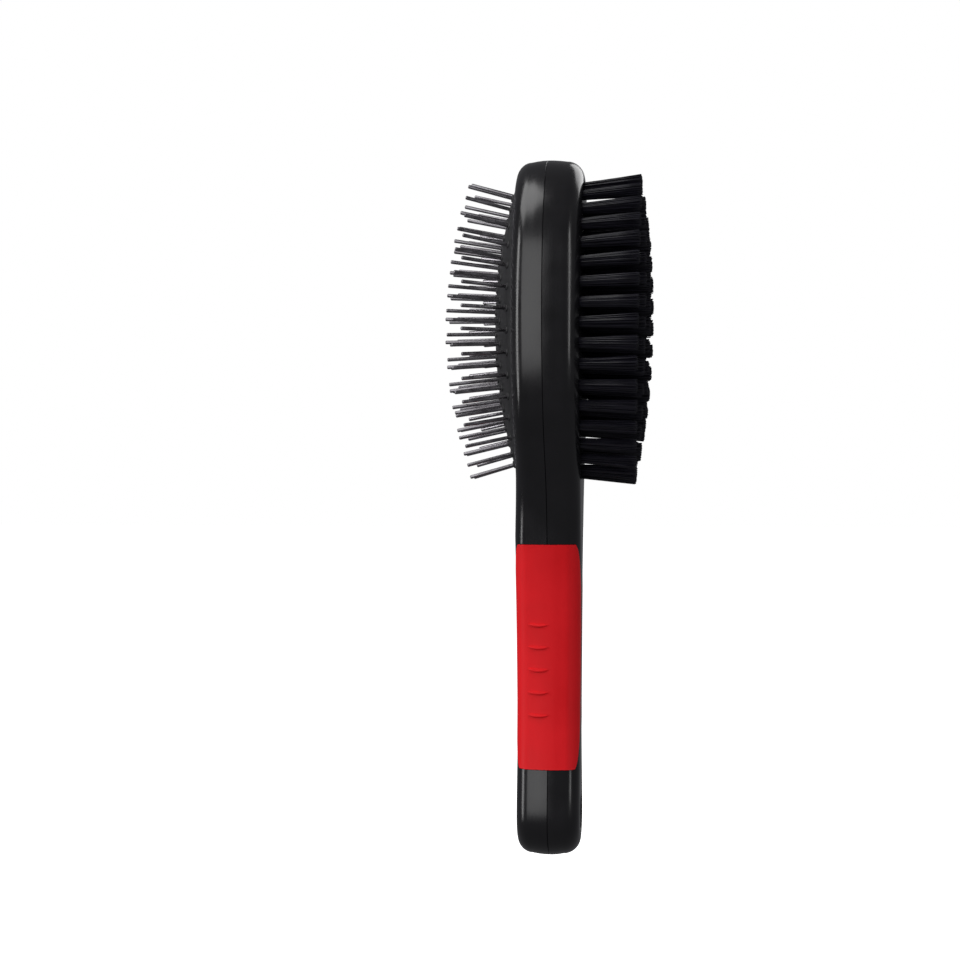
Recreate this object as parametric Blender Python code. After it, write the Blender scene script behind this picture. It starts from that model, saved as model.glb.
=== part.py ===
"""Double-sided pet brush, upright with its head on top.

Two plastic half shells meet on the plane X = 0. The +X shell carries rings of nylon tufts. The -X shell has an
oval opening with a domed rubber cushion, and rings of steel pins stand in that cushion. Two soft grips wrap the
edges of the handle, and a hole through its end takes a hook. Metres, +Z towards the head's tip.
"""

import math

import bmesh
import bpy
from mathutils import Vector

PIN_SIDE, BRISTLE_SIDE = -1, 1

# Body
LENGTH = 0.225
HEAD_HALF_LENGTH = 0.055
HEAD_HALF_WIDTH = 0.0325
END_RADIUS = 0.0137
# (height, distance from the parting plane to the face) of each side, straight in between
FACES = {
    PIN_SIDE: ((-0.0625, 0.0102), (-0.0100, 0.0107), (0.0090, 0.0099)),
    BRISTLE_SIDE: ((-0.0625, 0.0100), (0.1125, 0.0116)),
}
PIN_FACE = FACES[PIN_SIDE][-1][1]
EDGE_RADIUS = {PIN_SIDE: 0.0048, BRISTLE_SIDE: 0.0056}
CROWN = 0.0005  # how far the side wall leans in from the parting line to the rounded edge
GAP = 0.0003  # clearance between neighbouring pieces
SEAM_HALF_GAP = GAP / 2
EDGE_STEPS = 4
OVAL_SIDES = 36

TIP_Z = LENGTH / 2
END_Z = -LENGTH / 2
HEAD_Z = TIP_Z - HEAD_HALF_LENGTH
END_ARC_Z = END_Z + END_RADIUS
NECK_JOIN_Z = 0.0155
# Handle outline between the end arc and the head's ellipse: height, half width, slope
HANDLE_STATIONS = ((-0.0825, 0.0115, -0.13), (-0.0455, 0.0092, 0.0), (-0.0075, 0.0125, 0.17))

# Hollow
HEAD_WALL = 0.0024
BRISTLE_FACE_WALL = 0.0030
PIN_FACE_WALL = 0.0040
HANDLE_WALL = 0.0042
HANDLE_HOLLOW_START = -0.0865

# Hanging hole, a slot with round ends
HOLE_HALF_WIDTH = 0.0048
HOLE_HALF_LENGTH = 0.0060
HOLE_Z = END_ARC_Z - 0.0002

# Soft grips
GRIP_Z = (-0.0831, -0.0116)
GRIP_DEPTH = 0.0020
GRIP_PROUD = 0.0002
GRIP_END_WRAP = 0.0022  # how far in from the outline a grip reaches at its two ends
GRIP_MIDDLE_HALF_GAP = 0.0036  # half the bare strip between the two grips, where it is narrowest
RIB_COUNT = 5
RIB_PITCH = 0.0072
RIB_MIDDLE = (-0.0029, -0.0515)  # x and z of the middle rib's centre
RIB_HALF_LENGTH = 0.0033
RIB_RADIUS = 0.0006

# Cushion
OPENING = (0.0485, 0.0260)  # half length, half width
CUSHION_RISE = 0.0076
CUSHION_THICKNESS = 0.0015
FLANGE_WIDTH = 0.0018
FLANGE_DEPTH = 0.0012  # below the shell's face
FLANGE_THICKNESS = 0.0014
PIN_TRAVEL = 0.0025  # how far the pins sink into the cushion

# Pins: (half length, half width, number of pins, number of arcs) of each oval ring
PIN_RINGS = ((0.0440, 0.0225, 31, 4), (0.0375, 0.0160, 25, 4), (0.0310, 0.0095, 19, 2), (0.0240, 0.0032, 14, 2))
PIN_RADIUS = 0.0006
PIN_SIDES = 5
PIN_LENGTH = 0.0164  # of the middle pins, outside the cushion
PIN_TRIM = 0.0014  # how much shorter the outermost pins are
PIN_ROOT = 0.0027  # from the cushion's underside to the pin's inner end
STRIP_THICKNESS = 0.0012
PIN_STRIP_WIDTH = 0.0020
TUFT_STRIP_WIDTH = 0.0034

# Tufts: the same for the bristles
TUFT_RINGS = ((0.0465, 0.0255, 36, 4), (0.0397, 0.0187, 28, 4), (0.0329, 0.0119, 24, 2), (0.0261, 0.0051, 16, 2))
TUFT_BASE_RADIUS = 0.0014
TUFT_TIP_RADIUS = 0.0019
TUFT_SIDES = 5
TUFT_LENGTH = 0.02275  # of the middle tufts, outside the shell
TUFT_TRIM = 0.0046  # how much shorter the outermost tufts are
TUFT_SLANT = 0.012  # the brush is trimmed a little longer towards its tip
TUFT_FAN = 0.075  # lean of the outermost tufts, radians
TUFT_ROOT = 0.0050  # from the face to the tuft's inner end

# Locating pegs between the shells: heights
PEG_HEIGHTS = (-0.0740, -0.0455, 0.0010)
PEG_RADIUS = 0.0018
SOCKET_RADIUS = 0.0034
PEG_SIDES = 8

COLOURS = {
    "shell": (0.012, 0.012, 0.016, 1.0),
    "cushion": (0.010, 0.010, 0.012, 1.0),
    "grip": (0.62, 0.012, 0.016, 1.0),
    "pins": (0.50, 0.50, 0.52, 1.0),
    "tufts": (0.008, 0.008, 0.012, 1.0),
}
ROUGHNESS = {"shell": 0.35, "cushion": 0.6, "grip": 0.65, "pins": 0.25, "tufts": 0.4}


def clear_scene():
    for obj in list(bpy.data.objects):
        bpy.data.objects.remove(obj, do_unlink=True)


def material(name):
    found = bpy.data.materials.get(name)
    if found:
        return found
    made = bpy.data.materials.new(name)
    made.use_nodes = True
    shader = made.node_tree.nodes["Principled BSDF"]
    shader.inputs["Base Color"].default_value = COLOURS[name]
    shader.inputs["Roughness"].default_value = ROUGHNESS[name]
    shader.inputs["Metallic"].default_value = 1.0 if name == "pins" else 0.0
    return made


def add_object(name, mesh, finish=None):
    obj = bpy.data.objects.new(name, mesh)
    bpy.context.scene.collection.objects.link(obj)
    if finish:
        mesh.materials.append(material(finish))
        mesh.shade_smooth()
        mesh.set_sharp_from_angle(angle=math.radians(35))
    else:
        obj.hide_render = True
        obj.display_type = "WIRE"
    return obj


def mesh_from(name, points, faces):
    mesh = bpy.data.meshes.new(name)
    mesh.from_pydata(points, [], faces)
    work = bmesh.new()
    work.from_mesh(mesh)
    bmesh.ops.recalc_face_normals(work, faces=work.faces)
    work.to_mesh(mesh)
    work.free()
    return mesh


def boolean(obj, other, operation):
    modifier = obj.modifiers.new(operation.title() + "_" + other.name, "BOOLEAN")
    modifier.operation = operation
    modifier.object = other
    modifier.solver = "EXACT"


def blend(low, high, share):
    return low + (high - low) * share


def ramp(z, start, end):
    """0 below start, 1 above end, straight in between."""
    return min(1.0, max(0.0, (z - start) / (end - start)))


# The body's form


def hermite(low, high, z):
    """Half width at z on the cubic between two (height, half width, slope) stations."""
    span = high[0] - low[0]
    t = (z - low[0]) / span
    return (
        (1 + 2 * t) * (1 - t) ** 2 * low[1]
        + t * (1 - t) ** 2 * span * low[2]
        + t * t * (3 - 2 * t) * high[1]
        + t * t * (t - 1) * span * high[2]
    )


def head_half_width(z):
    return HEAD_HALF_WIDTH * math.sqrt(max(0.0, 1 - ((z - HEAD_Z) / HEAD_HALF_LENGTH) ** 2))


def neck_station():
    """Where the handle's curve meets the head's ellipse, with the ellipse's own slope."""
    up = (HEAD_Z - NECK_JOIN_Z) / HEAD_HALF_LENGTH
    slope = HEAD_HALF_WIDTH / HEAD_HALF_LENGTH * up / math.sqrt(1 - up * up)
    return (NECK_JOIN_Z, head_half_width(NECK_JOIN_Z), slope)


def half_width(z):
    if z >= NECK_JOIN_Z:
        return head_half_width(z)
    if z <= END_ARC_Z:
        return math.sqrt(max(0.0, END_RADIUS**2 - (END_ARC_Z - z) ** 2))
    stations = ((END_ARC_Z, END_RADIUS, 0.0), *HANDLE_STATIONS, neck_station())
    for low, high in zip(stations, stations[1:]):
        if z <= high[0]:
            return hermite(low, high, z)
    return head_half_width(z)


def outline_heights():
    """Heights of the outline's stations: even angles on the end arc and the head, even steps between."""
    arc = [END_ARC_Z - END_RADIUS * math.cos(math.radians(a)) for a in range(0, 91, 18)]
    handle = [blend(END_ARC_Z, NECK_JOIN_Z, i / 11) for i in range(1, 11)]
    start = math.acos((HEAD_Z - NECK_JOIN_Z) / HEAD_HALF_LENGTH)
    head = [HEAD_Z - HEAD_HALF_LENGTH * math.cos(blend(start, math.pi, i / 13)) for i in range(14)]
    return arc + handle + head


def face_depth(z, side):
    """Distance from the parting plane to one side's face."""
    stations = FACES[side]
    if z <= stations[0][0]:
        return stations[0][1]
    for low, high in zip(stations, stations[1:]):
        if z <= high[0]:
            return blend(low[1], high[1], ramp(z, low[0], high[0]))
    return stations[-1][1]


def outline():
    """(y, z, inward normal) of each station of the right-hand edge, from the handle's end to the tip."""
    heights = outline_heights()
    points = [(half_width(z) if 0 < i < len(heights) - 1 else 0.0, z) for i, z in enumerate(heights)]
    found = []
    for i, (y, z) in enumerate(points):
        before = points[i - 1] if i else (-points[1][0], points[1][1])
        after = points[i + 1] if i < len(points) - 1 else (-points[-2][0], points[-2][1])
        along = Vector((after[0] - before[0], after[1] - before[1])).normalized()
        found.append((y, z, Vector((-along.y, along.x))))
    return found


def edge_profile(z, inset, side):
    """(inset from the outline, distance from the parting plane) from the parting line to the flat face."""
    radius = EDGE_RADIUS[side] - inset
    flat = face_depth(z, side) - inset
    rows = [(inset, SEAM_HALF_GAP)]
    for step in range(EDGE_STEPS + 1):
        a = math.radians(90 * step / EDGE_STEPS)
        rows.append((inset + CROWN + radius * (1 - math.cos(a)), flat - radius * (1 - math.sin(a))))
    return rows


def body_form(name, inset, sides=(PIN_SIDE, BRISTLE_SIDE)):
    """The body's outer form moved in by inset: one half of it, or both. Its faces are ladders across the width."""
    stations = outline()
    last = len(stations) - 1
    rings = []
    for side in sides:
        rows = [edge_profile(z, inset, side) for _, z, _ in stations]
        order = range(EDGE_STEPS + 2)
        if len(sides) == 2:
            order = range(EDGE_STEPS + 1, 0, -1) if side == sides[0] else range(1, EDGE_STEPS + 2)
        for row in order:
            ring = []
            for i, (y, z, inward) in enumerate(stations):
                shift, x = rows[i][row]
                ring.append(Vector((side * x, y + inward.x * shift, z + inward.y * shift)))
            rings.append(ring)
    points, right, left = [], [], []
    for ring in rings:
        right.append([len(points) + i for i in range(last + 1)])
        points += ring
        mirrored = [len(points) + i for i in range(last - 1)]
        points += [Vector((p.x, -p.y, p.z)) for p in ring[1:last]]
        left.append([right[-1][0], *mirrored, right[-1][last]])
    faces = []
    for k in range(len(rings) - 1):
        for i in range(last):
            for edge in (right, left):
                faces.append((edge[k][i], edge[k][i + 1], edge[k + 1][i + 1], edge[k + 1][i]))
    for k in (0, len(rings) - 1):
        for i in range(last):
            corners = (right[k][i], right[k][i + 1], left[k][i + 1], left[k][i])
            faces.append(tuple(dict.fromkeys(corners)))
    return mesh_from(name, points, faces)


def oval_stack(name, levels, count=OVAL_SIDES):
    """Ovals around the head's centre, each (x, half length, half width), skinned and capped."""
    points, faces = [], []
    for x, length, width in levels:
        for i in range(count):
            a = 2 * math.pi * i / count
            points.append((x, width * math.sin(a), HEAD_Z + length * math.cos(a)))
    for k in range(len(levels) - 1):
        for i in range(count):
            j = (i + 1) % count
            faces.append((k * count + i, k * count + j, (k + 1) * count + j, (k + 1) * count + i))
    faces.append(tuple(range(count)))
    faces.append(tuple(range((len(levels) - 1) * count, len(levels) * count)))
    return mesh_from(name, points, faces)


def prism(name, loop, low, high):
    """A closed (y, z) loop extruded along X."""
    count = len(loop)
    points = [(low, y, z) for y, z in loop] + [(high, y, z) for y, z in loop]
    faces = [(i, (i + 1) % count, count + (i + 1) % count, count + i) for i in range(count)]
    faces += [tuple(range(count)), tuple(range(count, 2 * count))]
    return mesh_from(name, points, faces)


# Shells


def head_hollow(side):
    """The space inside one half of the head, down to the inner face of its wall."""
    deep = face_depth(NECK_JOIN_Z, side) - (PIN_FACE_WALL if side == PIN_SIDE else BRISTLE_FACE_WALL)
    length, width = HEAD_HALF_LENGTH - HEAD_WALL, HEAD_HALF_WIDTH - HEAD_WALL
    shoulder = 0.0025
    levels = (
        (-side * 0.001, length, width),
        (side * (deep - shoulder), length - CROWN, width - CROWN),
        (side * deep, length - CROWN - shoulder, width - CROWN - shoulder),
    )
    return add_object(f"cut_head_hollow_{side}", oval_stack(f"cut_head_hollow_{side}", levels))


def handle_hollow(side):
    """The space inside one half of the handle, open into the head's."""
    heights = [blend(HANDLE_HOLLOW_START, NECK_JOIN_Z + 0.004, i / 9) for i in range(10)]
    half = [(half_width(z) - HANDLE_WALL, z) for z in heights]
    loop = half + [(-y, z) for y, z in reversed(half)]
    deep = face_depth(END_Z, side) - HANDLE_WALL
    name = f"cut_handle_hollow_{side}"
    low, high = sorted((-side * 0.001, side * deep))
    return add_object(name, prism(name, loop, low, high))


def hanging_hole():
    loop = []
    straight = HOLE_HALF_LENGTH - HOLE_HALF_WIDTH
    for i in range(16):
        a = 2 * math.pi * (i + 0.5) / 16
        shift = straight if math.cos(a) > 0 else -straight
        loop.append((HOLE_HALF_WIDTH * math.sin(a), HOLE_Z + shift + HOLE_HALF_WIDTH * math.cos(a)))
    return add_object("cut_hanging_hole", prism("cut_hanging_hole", loop, -0.03, 0.03))


def peg_post(name, z, radius, low, high):
    points, faces = [], []
    for x in (low, high):
        for i in range(PEG_SIDES):
            a = 2 * math.pi * i / PEG_SIDES
            points.append((x, radius * math.cos(a), z + radius * math.sin(a)))
    for i in range(PEG_SIDES):
        j = (i + 1) % PEG_SIDES
        faces.append((i, j, PEG_SIDES + j, PEG_SIDES + i))
    faces += [tuple(range(PEG_SIDES)), tuple(range(PEG_SIDES, 2 * PEG_SIDES))]
    return add_object(name, mesh_from(name, points, faces))


def add_pegs(shell, side):
    """Pegs on the pin side reach past the parting plane into sockets on the bristle side."""
    wall = face_depth(END_Z, side) - HANDLE_WALL
    reach = 0.0035
    for number, z in enumerate(PEG_HEIGHTS):
        if side == PIN_SIDE:
            peg = peg_post(f"add_peg_{number}", z, PEG_RADIUS, -wall - 0.001, reach)
            boolean(shell, peg, "UNION")
        else:
            socket = peg_post(f"add_socket_{number}", z, SOCKET_RADIUS, SEAM_HALF_GAP, wall + 0.001)
            bore = peg_post(f"cut_socket_{number}", z, PEG_RADIUS + GAP, -0.001, reach + GAP)
            boolean(shell, socket, "UNION")
            boolean(shell, bore, "DIFFERENCE")


def make_shell(name, side, grip_pocket):
    shell = add_object(name, body_form(name, 0.0, (side,)), "shell")
    boolean(shell, head_hollow(side), "DIFFERENCE")
    boolean(shell, handle_hollow(side), "DIFFERENCE")
    boolean(shell, grip_pocket, "DIFFERENCE")
    boolean(shell, hanging_hole(), "DIFFERENCE")
    add_pegs(shell, side)
    return shell


# Grips


def crescent(side, spare):
    """The (y, z) loop that a grip fills: bounded by an arc on the face and open past the handle's edge."""
    low, high = GRIP_Z[0] - spare, GRIP_Z[1] + spare
    outside = 0.03
    steps = 14
    loop = [(outside, high), (outside, low)]
    for i in range(steps + 1):
        z = blend(low, high, i / steps)
        bulge = math.sin(math.pi * i / steps) ** 0.75
        edge = blend(GRIP_Z[0], GRIP_Z[1], i / steps)
        start = half_width(edge) - GRIP_END_WRAP
        loop.append((blend(start, GRIP_MIDDLE_HALF_GAP, bulge) - spare, z))
    return [(side * y, z) for y, z in loop]


def rib_mesh(side):
    """Short rounded ribs across the grip's side, as one mesh of separate closed bodies."""
    points, faces = [], []
    for number in range(RIB_COUNT):
        z = RIB_MIDDLE[1] + (number - (RIB_COUNT - 1) / 2) * RIB_PITCH
        y = half_width(z) + GRIP_PROUD
        start = len(points)
        for x, size in ((-1.0, 0.35), (-0.6, 1.0), (0.6, 1.0), (1.0, 0.35)):
            for i in range(6):
                a = 2 * math.pi * i / 6
                out = y + RIB_RADIUS * size * math.cos(a) - CROWN * abs(x)
                points.append((RIB_MIDDLE[0] + x * RIB_HALF_LENGTH, side * out, z + RIB_RADIUS * size * math.sin(a)))
        for k in range(3):
            for i in range(6):
                j = (i + 1) % 6
                row, above = start + 6 * k, start + 6 * (k + 1)
                faces.append((row + i, row + j, above + j, above + i))
        faces.append(tuple(start + i for i in range(6)))
        faces.append(tuple(start + 18 + i for i in range(6)))
    return mesh_from(f"add_ribs_{side}", points, faces)


def make_grips():
    """Two soft grips, and the cutter that leaves room for both in the shells."""
    core = add_object("cut_grip_core", body_form("cut_grip_core", GRIP_DEPTH))
    proud = body_form("grip_form", -GRIP_PROUD)
    for name, side in (("grip_left", -1), ("grip_right", 1)):
        grip = add_object(name, proud.copy(), "grip")
        shape = f"keep_{name}"
        keep = add_object(shape, prism(shape, crescent(side, 0.0), -0.03, 0.03))
        ribs = add_object(f"add_ribs_{name}", rib_mesh(side))
        boolean(grip, keep, "INTERSECT")
        boolean(grip, core, "DIFFERENCE")
        boolean(grip, ribs, "UNION")
    inner = add_object("cut_pocket_core", body_form("cut_pocket_core", GRIP_DEPTH + GAP))
    loops = [crescent(side, GAP) for side in (-1, 1)]
    pocket = add_object("cut_grip_pocket", prism("cut_grip_pocket", loops[0], -0.03, 0.03))
    other = add_object("cut_grip_pocket_right", prism("cut_grip_pocket_right", loops[1], -0.03, 0.03))
    boolean(pocket, other, "UNION")
    boolean(pocket, inner, "DIFFERENCE")
    return pocket


# Cushion


def dome_x(y, z, below=0.0):
    """X of the cushion's outer surface, or of a surface that far inside it."""
    share = min(1.0, (y / OPENING[1]) ** 2 + ((z - HEAD_Z) / OPENING[0]) ** 2)
    return -(PIN_FACE + CUSHION_RISE * (1 - share) - below)


def dome_direction(y, z):
    """The dome's outward normal at a point, which a pin follows."""
    dy = -2 * CUSHION_RISE * y / OPENING[1] ** 2
    dz = -2 * CUSHION_RISE * (z - HEAD_Z) / OPENING[0] ** 2
    return Vector((-1.0, -dy, -dz)).normalized()


def cushion_groove():
    """Cutter for the opening in the pin-side face and for the groove that holds the cushion's flange."""
    length, width = OPENING
    floor = -(PIN_FACE - FLANGE_DEPTH + GAP)
    deep = floor + FLANGE_THICKNESS + 2 * GAP
    reach = FLANGE_WIDTH + GAP
    levels = (
        (-0.03, length, width),
        (floor, length, width),
        (floor, length + reach, width + reach),
        (deep, length + reach, width + reach),
        (deep, length, width),
        (0.0, length, width),
    )
    return add_object("cut_cushion_groove", oval_stack("cut_cushion_groove", levels))


def make_cushion():
    """A domed rubber skin with a flange round its edge."""
    count, rows = OVAL_SIDES, 4
    length, width = OPENING[0] - GAP, OPENING[1] - GAP
    face = -(PIN_FACE - FLANGE_DEPTH)
    back = face + FLANGE_THICKNESS
    points, faces = [], []

    def add_oval(share, offset, x_of):
        start = len(points)
        for i in range(count):
            a = 2 * math.pi * i / count
            y = (width * share + offset) * math.sin(a)
            z = HEAD_Z + (length * share + offset) * math.cos(a)
            points.append((x_of(y, z), y, z))
        return start

    starts = [add_oval((k + 1) / rows, 0.0, dome_x) for k in range(rows)]
    starts.append(add_oval(1.0, 0.0, lambda y, z: face))
    starts.append(add_oval(1.0, FLANGE_WIDTH, lambda y, z: face))
    starts.append(add_oval(1.0, FLANGE_WIDTH, lambda y, z: back))
    starts.append(add_oval(1.0, -CUSHION_THICKNESS, lambda y, z: back))
    for k in range(rows, 0, -1):
        share = k / rows
        inside = -CUSHION_THICKNESS * share
        starts.append(add_oval(share, inside, lambda y, z: dome_x(y, z, CUSHION_THICKNESS)))
    for low, high in zip(starts, starts[1:]):
        for i in range(count):
            j = (i + 1) % count
            faces.append((low + i, low + j, high + j, high + i))
    for start, below in ((starts[0], 0.0), (starts[-1], CUSHION_THICKNESS)):
        middle = len(points)
        points.append((dome_x(0.0, HEAD_Z, below), 0.0, HEAD_Z))
        for i in range(count):
            faces.append((middle, start + i, start + (i + 1) % count))
    return add_object("pin_cushion", mesh_from("pin_cushion", points, faces), "cushion")


# Pins and tufts


def ring_places(length, width, count):
    """Evenly spaced (y, z) places on an oval ring, the first one at its top."""
    fine = 720
    oval = [
        (width * math.sin(2 * math.pi * i / fine), length * math.cos(2 * math.pi * i / fine))
        for i in range(fine + 1)
    ]
    runs = [0.0]
    for a, b in zip(oval, oval[1:]):
        runs.append(runs[-1] + math.dist(a, b))
    places, k = [], 0
    for number in range(count):
        target = runs[-1] * number / count
        while runs[k + 1] < target:
            k += 1
        places.append((oval[k][0], HEAD_Z + oval[k][1]))
    return places


def pin_axis(y, z):
    """(inner end, outer end) of the pin at a place on the cushion. The outer rings are shorter."""
    base, out = Vector((dome_x(y, z), y, z)), dome_direction(y, z)
    outermost = PIN_RINGS[0]
    length = PIN_LENGTH - PIN_TRIM * (((z - HEAD_Z) / outermost[0]) ** 2 + (y / outermost[1]) ** 2)
    return base - out * (CUSHION_THICKNESS + PIN_ROOT), base + out * length


def tuft_axis(y, z):
    """(inner end, outer end) of the tuft at a place on the bristle face. The outer rings lean out and are shorter."""
    outermost = TUFT_RINGS[0]
    lean_z = (z - HEAD_Z) / outermost[0]
    lean_y = y / outermost[1]
    out = Vector((1.0, TUFT_FAN * lean_y, TUFT_FAN * lean_z)).normalized()
    base = Vector((face_depth(z, BRISTLE_SIDE), y, z))
    length = TUFT_LENGTH - TUFT_TRIM * (lean_y**2 + lean_z**2) + TUFT_SLANT * (z - HEAD_Z)
    return base - out * TUFT_ROOT, base + out * (length / out.x)


def rod(points, faces, start, end, radii, sides):
    """Adds a closed rod from start to end, with a radius at each end, to the lists."""
    along = (end - start).normalized()
    across = along.cross(Vector((0, 0, 1))).normalized()
    up = across.cross(along)
    first = len(points)
    for centre, radius in ((start, radii[0]), (end, radii[1])):
        for i in range(sides):
            a = 2 * math.pi * i / sides
            points.append(centre + (across * math.cos(a) + up * math.sin(a)) * radius)
    for i in range(sides):
        j = (i + 1) % sides
        faces.append((first + i, first + j, first + sides + j, first + sides + i))
    faces.append(tuple(first + i for i in range(sides)))
    faces.append(tuple(first + sides + i for i in range(sides)))


def rods_mesh(name, axes, radii, sides):
    points, faces = [], []
    for start, end in axes:
        rod(points, faces, start, end, radii, sides)
    return mesh_from(name, points, faces)


def strip_mesh(name, axes, width):
    """A flat strip through the inner ends, which ties one arc of pins or tufts together."""
    points, faces = [], []
    middles = [start for start, _ in axes]
    for k, (start, end) in enumerate(axes):
        out = (end - start).normalized()
        before, after = middles[max(k - 1, 0)], middles[min(k + 1, len(middles) - 1)]
        along = (after - before).normalized()
        side = along.cross(out).normalized() * width / 2
        reach = along * width * (-0.55 if k == 0 else 0.55 if k == len(axes) - 1 else 0)
        up = out * STRIP_THICKNESS / 2
        points += [start + reach + side * a + up * b for a, b in ((-1, -1), (1, -1), (1, 1), (-1, 1))]
    for k in range(len(axes) - 1):
        for i in range(4):
            j = (i + 1) % 4
            faces.append((4 * k + i, 4 * k + j, 4 * k + 4 + j, 4 * k + 4 + i))
    last = 4 * (len(axes) - 1)
    faces += [(0, 1, 2, 3), (last, last + 1, last + 2, last + 3)]
    return mesh_from(name, points, faces)


def arcs_of(places, arcs):
    """The ring's places shared out over its arcs, in order."""
    bounds = [round(len(places) * k / arcs) for k in range(arcs + 1)]
    return [places[low:high] for low, high in zip(bounds, bounds[1:])]


def make_rings(kind, rings, axis_of, radii, sides, strip_width):
    """One node for each arc of each ring. Returns every place, for the holes."""
    every = []
    for ring, (length, width, count, arcs) in enumerate(rings, 1):
        places = ring_places(length, width, count)
        every += places
        for arc, group in enumerate(arcs_of(places, arcs)):
            name = f"{kind}_ring_{ring}_{'abcd'[arc]}"
            axes = [axis_of(y, z) for y, z in group]
            node = add_object(name, strip_mesh(name, axes, strip_width), kind)
            rods = add_object(f"add_{name}", rods_mesh(f"add_{name}", axes, radii, sides))
            boolean(node, rods, "UNION")
    return every


def hole_cutter(name, places, axis_of, radius, sides, inner, outer):
    """Cutters with clearance round every rod, from the depth inner to the height outer along its axis."""
    axes = []
    for y, z in places:
        start, end = axis_of(y, z)
        out = (end - start).normalized()
        axes.append((start + out * inner, start + out * outer))
    return add_object(name, rods_mesh(name, axes, (radius, radius), sides))


def main():
    clear_scene()
    pocket = make_grips()
    bristle_shell = make_shell("bristle_side_shell", BRISTLE_SIDE, pocket)
    pin_shell = make_shell("pin_side_shell", PIN_SIDE, pocket)
    boolean(pin_shell, cushion_groove(), "DIFFERENCE")
    cushion = make_cushion()
    pins = make_rings("pins", PIN_RINGS, pin_axis, (PIN_RADIUS, PIN_RADIUS), PIN_SIDES, PIN_STRIP_WIDTH)
    tuft_radii = (TUFT_BASE_RADIUS, TUFT_TIP_RADIUS)
    tufts = make_rings("tufts", TUFT_RINGS, tuft_axis, tuft_radii, TUFT_SIDES, TUFT_STRIP_WIDTH)
    through = PIN_ROOT + CUSHION_THICKNESS + 0.002
    cutter = hole_cutter("cut_pin_holes", pins, pin_axis, PIN_RADIUS + GAP, PIN_SIDES, 0.0002, through)
    boolean(cushion, cutter, "DIFFERENCE")
    through = TUFT_ROOT + 0.001
    radius = TUFT_BASE_RADIUS + GAP + 0.0001
    cutter = hole_cutter("cut_tuft_holes", tufts, tuft_axis, radius, TUFT_SIDES, 0.0002, through)
    boolean(bristle_shell, cutter, "DIFFERENCE")


main()
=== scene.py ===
"""The double-sided pet brush as it looks: fine shells, grips, cushion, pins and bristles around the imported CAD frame.

Everything is in metres in the CAD row frame: +X bristle side, -X pin side, +Z up the handle to the head's tip.
"""

import math
import random

import bmesh
import bpy
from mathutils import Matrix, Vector


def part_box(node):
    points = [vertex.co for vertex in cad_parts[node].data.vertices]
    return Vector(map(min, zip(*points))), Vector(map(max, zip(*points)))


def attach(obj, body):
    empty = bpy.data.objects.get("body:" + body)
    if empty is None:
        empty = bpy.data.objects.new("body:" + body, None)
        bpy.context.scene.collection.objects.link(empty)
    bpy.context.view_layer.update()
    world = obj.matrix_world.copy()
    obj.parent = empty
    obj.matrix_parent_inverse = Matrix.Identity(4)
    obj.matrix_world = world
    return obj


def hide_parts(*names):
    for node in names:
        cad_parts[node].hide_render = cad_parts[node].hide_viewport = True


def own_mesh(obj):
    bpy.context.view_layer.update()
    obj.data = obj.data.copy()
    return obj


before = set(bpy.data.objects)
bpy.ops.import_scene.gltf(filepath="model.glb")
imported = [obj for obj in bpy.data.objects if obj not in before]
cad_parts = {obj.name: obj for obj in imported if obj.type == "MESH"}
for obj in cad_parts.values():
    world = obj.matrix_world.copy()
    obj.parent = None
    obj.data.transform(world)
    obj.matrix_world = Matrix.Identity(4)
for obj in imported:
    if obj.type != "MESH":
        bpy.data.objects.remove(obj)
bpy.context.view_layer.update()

SEED = 7
MM = 0.001
LIMIT = 30 * MM  # further out than any face, for cutters

# Sizes that the frame gives
BODY_LOW, BODY_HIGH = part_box("bristle_side_shell")
LENGTH = BODY_HIGH.z - BODY_LOW.z
CUSHION_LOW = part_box("pin_cushion")[0]
GRIP_LOW, GRIP_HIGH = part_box("grip_right")
GRIP_Z = (GRIP_LOW.z, GRIP_HIGH.z)

PIN_SIDE, BRISTLE_SIDE = -1, 1
BODY, PINS = "brush_body", "pin_field"

# The body's form, as in the CAD
# (height, distance from the parting plane to the face) of each side, straight in between
FACES = {
    PIN_SIDE: ((-62.5 * MM, 10.2 * MM), (-10.0 * MM, 10.7 * MM), (9.0 * MM, 9.9 * MM)),
    BRISTLE_SIDE: ((-62.5 * MM, 10.0 * MM), (112.5 * MM, BODY_HIGH.x)),
}
PIN_FACE = FACES[PIN_SIDE][-1][1]
EDGE_RADIUS = {PIN_SIDE: 4.8 * MM, BRISTLE_SIDE: 5.6 * MM}
CUSHION_RISE = -CUSHION_LOW.x - PIN_FACE
HEAD_HALF_LENGTH = 55 * MM
HEAD_HALF_WIDTH = 32.5 * MM
END_RADIUS = 13.7 * MM
CROWN = 0.5 * MM
TIP_Z = LENGTH / 2
HEAD_Z = TIP_Z - HEAD_HALF_LENGTH
END_ARC_Z = END_RADIUS - LENGTH / 2
NECK_JOIN_Z = 15.5 * MM
HANDLE_STATIONS = ((-82.5 * MM, 11.5 * MM, -0.13), (-45.5 * MM, 9.2 * MM, 0.0), (-7.5 * MM, 12.5 * MM, 0.17))
SEAM_HALF_GAP = 0.04 * MM
SEAM_BEVEL = 0.12 * MM
EDGE_STEPS = 9
ARC_STEPS = 4  # on each small round: lips, collars and pin ends

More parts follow.
